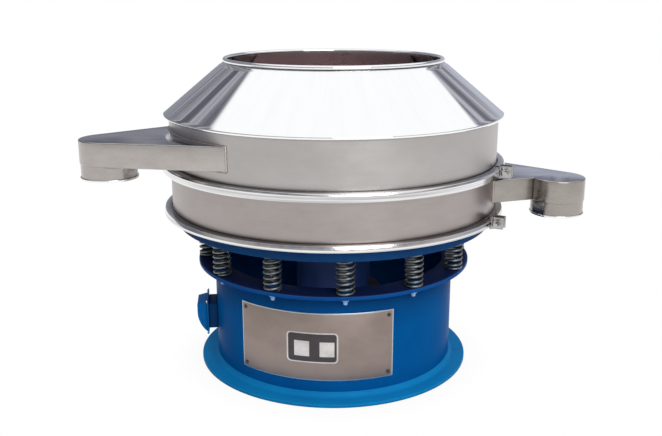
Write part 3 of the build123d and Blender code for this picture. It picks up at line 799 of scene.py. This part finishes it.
def stand():
    """Foot and shelf with rounded edges, and their welds to the barrel."""
    low, top, inner, outer = extent("foot_ring")
    foot = rounded([(inner, low, 0.8), (outer, low, 0.8), (outer, top, 2.5), (inner, top, 1.0)], 1.0)
    turned("foot_plate", foot, blue_foot_lit, STAND, 300, 35.0, ("foot_ring",))
    hollow_weld("foot_weld", top, 15.0, 1, 9, blue_foot_lit)
    hollow_weld("shelf_weld", SHELF_LOW, 6.0, -1, 6, blue)
    shelf = rounded([
        (SHELF_INNER, SHELF_LOW, 1.0), (SHELF_OUTER, SHELF_LOW, 1.5), (SHELF_OUTER, SHELF_TOP, 1.5),
        (SHELF_INNER, SHELF_TOP, 1.5),
    ], 1.0)
    turned("shelf_plate", shelf, blue_shelf, STAND, 300, 35.0, ("spring_shelf",))


def table():
    """Pressed table: floor plate, skirt, and the flange that the lower clamp grips."""
    well = TABLE_SKIRT - TABLE_SKIRT_WALL
    outline = rounded([
        (TABLE_INNER, TABLE_LOW, 0.8), (TABLE_SKIRT, TABLE_LOW, 5.0),
        (TABLE_SKIRT, TABLE_TOP - TABLE_FLANGE_ROOT, 2.0), (TABLE_OUTER, TABLE_TOP, 0.8),
        (well, TABLE_TOP, 1.5), (well, TABLE_LOW + TABLE_PLATE, 3.0),
        (TABLE_INNER, TABLE_LOW + TABLE_PLATE, 0.8),
    ], 1.0)
    turned("table_pressing", outline, blue_shaded, SHAKEN, 300, 35.0, ("table",))


stand()
table()


# ---------------------------------------------------------------- access cover and rating plate

def bent_plate(bm, sides, heights, radii, corner, rim, columns):
    """Plate bent round the barrel between two angles, heights and radii.

    Its corners are round and its rim is bevelled.
    """
    left, right = (radians(side) * BARREL_RADIUS for side in sides)
    bottom, top = heights
    back, face = radii
    # columns of points, closer together where the corners turn
    stations = set(spread(left, right, columns))
    for k in range(1, 6):
        step = corner * (1 - cos(radians(15 * k)))
        stations |= {left + step, right - step}
    lower, upper = [], []
    for x in sorted(stations):
        short = corner - min(x - left, right - x, corner)
        drop = corner - sqrt(max(corner**2 - short**2, 0.0))
        lower.append((x, bottom + drop))
        upper.append((x, top - drop))
    rings = []
    for radius, inset in ((back, 0.0), (face - rim, 0.0), (face - 0.3 * rim, 0.35 * rim), (face, rim)):
        ring = []
        for x, y in lower + upper[::-1]:
            angle = (x + inset * (left + right - 2 * x) / (right - left)) / BARREL_RADIUS
            height = y + inset * (bottom + top - 2 * y) / (top - bottom)
            ring.append(bm.verts.new(Vector((radius * cos(angle), radius * sin(angle), height)) * MM))
        rings.append(ring)
    bridge(bm, rings)
    for ring in (rings[0], rings[-1]):
        for k in range(len(lower) - 1):
            bm.faces.new((ring[k], ring[k + 1], ring[-2 - k], ring[-1 - k]))


def bent_piece(name, plates, material, replaces=()):
    """A piece of one or more bent plates."""
    bm = bmesh.new()
    for plate in plates:
        bent_plate(bm, *plate)
    finish_mesh(name, bm, material, STAND, 30.0, replaces)


def shrunk(span, border):
    """A span without its borders."""
    return (span[0] + border, span[1] - border)


def covers():
    """Access cover with a painted highlight on its border, and the bare rating plate with its dark field and
    two pale ones.
    """
    heights, face = (COVER_LOW, COVER_TOP), COVER_FACE
    bent_piece(
        "cover_edge", [(COVER_SIDES, heights, (COVER_BACK, face - 0.3), 3.0, 2.0, 96)],
        cover_edge_highlight, ("access_cover",),
    )
    bent_piece(
        "cover_sheet", [(shrunk(COVER_SIDES, 0.6), shrunk(heights, 4.0), (face - 0.5, face), 2.0, 0.4, 96)],
        cover_satin,
    )
    heights, face = (PLATE_LOW, PLATE_TOP), PLATE_FACE
    dark = (face - 0.1, face + 0.25)
    pale = (face + 0.2, face + 0.45)
    bent_piece(
        "plate_blank", [(PLATE_SIDES, heights, (PLATE_BACK, face), 12.0, 0.6, 40)],
        plate_light, ("rating_plate",),
    )
    bent_piece(
        "plate_field", [(shrunk(PLATE_SIDES, 0.7), shrunk(heights, 4.0), dark, 9.0, 0.2, 40)],
        plate_dark,
    )
    bent_piece(
        "plate_lines", [
            ((-107.3, -100.6), (PLATE_LOW + 20.0, PLATE_LOW + 67.0), pale, 1.5, 0.2, 12),
            ((-96.1, -89.7), (PLATE_LOW + 20.0, PLATE_LOW + 65.0), pale, 1.5, 0.2, 12),
        ], plate_light,
    )


def cover_screws():
    """Slotted pan heads at the corners of the cover."""
    bm = bmesh.new()
    head = 2.4
    for angle in shrunk(COVER_SIDES, degrees(SCREW_INSET / COVER_FACE)):
        for height in shrunk((COVER_LOW, COVER_TOP), SCREW_INSET):
            place = polar(angle, COVER_FACE - 0.1, height, z_out=True)
            prism(bm, circle(5.6, 28), 0.0, head, place, 1.2)
            prism(bm, [(-4.0, -0.6), (4.0, -0.6), (4.0, 0.6), (-4.0, 0.6)], head - 0.3, head + 0.05, place)
    finish_mesh("cover_screw_heads", bm, dark_head, STAND, 30.0, ("cover_screws",))


covers()
cover_screws()


# ---------------------------------------------------------------- terminal box

softened("box_block", "box_base", 2.5, STAND, blue_shaded)
softened("box_back", "box_plate", 1.5, STAND, blue_box)
softened("box_cover", "terminal_box", 2.5, STAND, blue_box, 4)


# ---------------------------------------------------------------- spouts

def wall_end(touch, taper, skin):
    """Where a straight wall that ends at touch has run back to the frame's skin."""
    way = Vector((cos(radians(taper)), sin(radians(taper))))
    touch = Vector(touch)
    along = touch.dot(way)
    return touch - way * (along - sqrt(along**2 - touch.length_squared + skin**2))


def spout_outline(taper, offset, inset=0.0, skin=FRAME_RADIUS - 1.4):
    """Plan of a spout as points from one root round the end to the other, X along the spout.

    The leading wall runs into the round end on a tangent. The trailing wall passes the end's centre
    at the offset, so it meets the end with a kink unless the offset is the end's radius.
    """
    radius = SPOUT_END_RADIUS - inset
    away = offset - inset
    tail = radians(taper)
    foot = sqrt(radius**2 - away**2)
    last = atan2(-away * cos(tail) - foot * sin(tail), away * sin(tail) - foot * cos(tail))
    if last > 0:
        last -= 2 * pi
    first = radians(90 - SPOUT_LEADING_TAPER)
    end = [(SPOUT_REACH + radius * cos(a), radius * sin(a)) for a in spread(first, last, 44)]
    return [wall_end(end[0], -SPOUT_LEADING_TAPER, skin)] + end + [wall_end(end[-1], taper, skin)]


def flat_with_hole(bm, ring, place, level):
    """Fills a flat closed ring of points, all but a round hole over the pipe, and gives the hole's points."""
    hole = [
        bm.verts.new(place @ (Vector((SPOUT_REACH + x, y, level)) * MM))
        for x, y in circle(PIPE_BORE_RADIUS, 72)
    ]
    edges = []
    for loop in (ring, hole):
        for i in range(len(loop)):
            pair = (loop[i - 1], loop[i])
            edges.append(bm.edges.get(pair) or bm.edges.new(pair))
    bmesh.ops.triangle_fill(bm, use_beauty=True, edges=edges)
    return hole


def spout_skin(name, place, floor, ceiling, taper, offset, material, replaces):
    """Walls, top and floor of a spout in one skin with rounded folds, open over the pipe."""
    bm = bmesh.new()
    fold = 3.0

    def ring(inset, height):
        plan = spout_outline(taper, offset, inset)
        return [bm.verts.new(place @ (Vector((x, y, height)) * MM)) for x, y in plan]

    quarter = spread(0, pi / 2, 4)
    outside = [ring(fold * (1 - sin(a)), floor + fold * (1 - cos(a))) for a in quarter]
    outside += [ring(fold * (1 - cos(a)), ceiling - fold * (1 - sin(a))) for a in quarter]
    inside = [ring(SPOUT_SHEET, floor + SPOUT_SHEET), ring(SPOUT_SHEET, ceiling - SPOUT_SHEET)]
    for rings in (outside, inside):
        bridge(bm, rings, open_rings=True)
        bm.faces.new(rings[-1])
    holes = [
        flat_with_hole(bm, outside[0], place, floor),
        flat_with_hole(bm, inside[0], place, floor + SPOUT_SHEET),
    ]
    bridge(bm, holes)
    finish_mesh(name, bm, material, SHAKEN, 32.0, replaces)


def pipe_piece(name, outline, place, material, sharp, replaces=()):
    """A turned piece round the axis of a spout's pipe."""
    bm = bmesh.new()
    turn_outline(bm, outline, 96)
    bmesh.ops.transform(bm, verts=bm.verts, matrix=place @ Matrix.Translation((SPOUT_REACH * MM, 0, 0)))
    finish_mesh(name, bm, material, SHAKEN, sharp, replaces)


def spout_pipe(level, place, floor, low, material):
    """Hanging pipe with a rolled rim."""
    bore = PIPE_BORE_RADIUS
    outside = bore + SPOUT_SHEET
    bead = bore + 6.1
    tube = [(bore, floor + 0.5), (bore, low + 0.5), (outside, low + 0.5), (outside, floor + 0.5)]
    rim = rounded([
        (bore, low, 0.8), (bead, low, 2.4), (bead, low + 6.5, 2.4), (bore + 2.0, low + 7.5, 1.0),
        (bore, low + 3.5, 0.5),
    ], 1.0)
    pipe_piece(f"{level}_spout_tube", tube, place, material, 32.0, (f"{level}_spout_pipe",))
    pipe_piece(f"{level}_spout_rim", rim, place, rim_steel, 45.0)


def root_weld(name, place, floor, ceiling, taper, offset):
    """Uneven weld bead round the root, where the skin meets the frame."""
    roots = spout_outline(taper, offset, skin=FRAME_RADIUS + 0.2)
    last, first = (atan2(y, x) for x, y in (roots[0], roots[-1]))
    path = [(a, ceiling) for a in spread(first, last, 90)]
    path += [(last, z) for z in spread(ceiling, floor, 24)[1:-1]]
    path += [(a, floor) for a in spread(last, first, 90)]
    path += [(first, z) for z in spread(floor, ceiling, 24)[1:-1]]
    skin = FRAME_RADIUS + 0.3
    spots = [place @ (Vector((skin * cos(a), skin * sin(a), z)) * MM) for a, z in path]
    bm = bmesh.new()
    rings = []
    for i, spot in enumerate(spots):
        along = spots[(i + 1) % len(spots)] - spots[i - 1]
        out = Vector((spot.x, spot.y, 0)).normalized()
        side = along.cross(out).normalized()
        thick = 3.0 + 0.5 * sin(2.3 * i) + 0.3 * sin(5.1 * i)
        rings.append([bm.verts.new(spot + (out * x + side * y) * MM) for x, y in circle(thick, 6)])
    bridge(bm, rings, whole=True)
    finish_mesh(name, bm, weld_steel, SHAKEN, 60.0)


def spout(level, angle, taper, offset, material):
    """A welded spout with its hanging pipe, between the heights of the CAD's one."""
    place = polar(angle)
    floor = extent(f"{level}_spout_floor")[0]
    ceiling = extent(f"{level}_spout_top")[1]
    pipe_low = extent(f"{level}_spout_pipe")[0]
    sheets = [f"{level}_spout_{part}" for part in ("wall", "top", "floor")]
    spout_skin(f"{level}_spout_skin", place, floor, ceiling, taper, offset, material, sheets)
    spout_pipe(level, place, floor, pipe_low, material)
    root_weld(f"{level}_spout_weld", place, floor, ceiling, taper, offset)


spout("lower", angle=-9.0, taper=28.0, offset=-10.0, material=spout_satin_low)
spout("upper", angle=203.4, taper=17.0, offset=SPOUT_END_RADIUS, material=spout_satin)


# ---------------------------------------------------------------- studio

FLOOR_REACH = 30.0
HALL_RADIUS = 60.0
EYE = (-0.0078, -2.6, 1.1494)
EYE_PITCH = 15.204
EYE_LENS = 45.97613


def background_rays(t):
    """1 for rays of the camera and of shiny or clear pieces, which all see the white background."""
    path = t.add("ShaderNodeLightPath").outputs
    seen = t.maths("MAXIMUM", path["Is Glossy Ray"], path["Is Transmission Ray"])
    return t.maths("MAXIMUM", path["Is Camera Ray"], seen)


def emission(t, colour):
    node = t.add("ShaderNodeEmission")
    t.put(node.inputs["Color"], colour)
    return node.outputs[0]


def blended(t, factor, a, b):
    """Mixes two shaders into the material's output."""
    mix = t.add("ShaderNodeMixShader")
    t.put(mix.inputs[0], factor)
    t.put(mix.inputs[1], a)
    t.put(mix.inputs[2], b)
    t.put(t.nodes["Material Output"].inputs["Surface"], mix.outputs[0])


def stage_piece(name, bm, material):
    """A piece of the studio, which is no part of the machine."""
    mesh = bpy.data.meshes.new(name)
    bm.to_mesh(mesh)
    bm.free()
    mesh.materials.append(material)
    piece = placed(name, mesh)
    return piece


def floor_white():
    """White for what sees the background, with a soft shadow under the machine; pale for other rays."""
    t = Tree("floor_white")
    pale = t.mixed(t.noise(t.place, 1.5, 2.0), (0.80, 0.80, 0.80), (0.84, 0.84, 0.84))
    t.finished(pale, 0.9, level=0.0)
    shadow = t.mixed(t.crevice_shade(0.25, 0.10), (1.0, 1.0, 1.0), (0.0, 0.0, 0.0))
    blended(t, background_rays(t), t.shader.outputs[0], emission(t, shadow))
    return t.material


def hall_tones():
    """Tones of a hall as the metal sees them, open to the white above."""
    t = Tree("hall_tones")
    way = t.add("ShaderNodeVectorMath", operation="NORMALIZE")
    t.put(way.inputs[0], t.place)
    x, y, z = t.parts(way.outputs[0])
    # dim behind the machine and brighter to its front and right
    right = t.smooth(x, -0.75, 0.55)
    front = t.mixed(right, (0.54, 0.53, 0.515), (0.62, 0.60, 0.585))
    behind = t.mixed(right, (0.20, 0.203, 0.235), (0.50, 0.52, 0.60))
    low = t.mixed(t.smooth(y, -0.35, 0.25), front, behind)
    # tall dark and pale uprights all round, seen in the polished cone
    bars = t.add("ShaderNodeTexNoise", noise_dimensions="1D")
    t.put(bars.inputs["W"], t.times(t.maths("ARCTAN2", y, x), 15.0))
    t.put(bars.inputs["Scale"], 1.0)
    t.put(bars.inputs["Detail"], 6.0)
    t.put(bars.inputs["Roughness"], 0.8)
    uprights = t.mixed(t.smooth(bars.outputs["Fac"], 0.38, 0.66), (0.07, 0.07, 0.09), (0.50, 0.495, 0.54))
    tone = t.mixed(t.times(t.smooth(z, 0.16, 0.34), 0.85), low, uprights)
    # the tones end at a sharp edge that leans to the right, with white above
    opening = t.smooth(t.plus(z, t.times(x, 0.14)), 0.602, 0.642)
    clear = t.add("ShaderNodeBsdfTransparent").outputs[0]
    blended(t, opening, emission(t, tone), clear)
    return t.material


def floor():
    bm = bmesh.new()
    bmesh.ops.create_grid(bm, x_segments=1, y_segments=1, size=FLOOR_REACH)
    stage_piece("floor", bm, floor_white())


def hall():
    """Round screen far off that stands for the hall in the metal; the camera looks past it."""
    bm = bmesh.new()
    bmesh.ops.create_uvsphere(bm, u_segments=64, v_segments=32, radius=HALL_RADIUS)
    screen = stage_piece("hall", bm, hall_tones())
    screen.visible_camera = False
    screen.visible_shadow = False


def softbox():
    """One large lamp above the camera's right."""
    light = bpy.data.lights.new("front_softbox", "AREA")
    light.shape = "RECTANGLE"
    light.size, light.size_y = 2.4, 1.6
    light.energy = 80
    lamp = placed("front_softbox", light)
    lamp.location = (1.2, -3.6, 2.4)
    lamp.rotation_euler = (Vector((0, 0, 0.4)) - lamp.location).to_track_quat("-Z", "Y").to_euler()


def studio():
    """White world, floor, hall, one lamp, and the camera that took the photograph."""
    scene = bpy.context.scene
    floor()
    hall()
    softbox()
    world = bpy.data.worlds.new("studio")
    scene.world = world
    world.use_nodes = True
    sky = world.node_tree.nodes["Background"]
    sky.inputs["Color"].default_value = (1, 1, 1, 1)
    sky.inputs["Strength"].default_value = 1.0
    camera = bpy.data.cameras.new("camera")
    camera.sensor_width = 36.0
    camera.lens = EYE_LENS
    eye = placed("camera", camera)
    eye.location = EYE
    eye.rotation_euler = (radians(90 - EYE_PITCH), 0, 0)
    scene.camera = eye
    scene.view_settings.view_transform = "Standard"


studio()
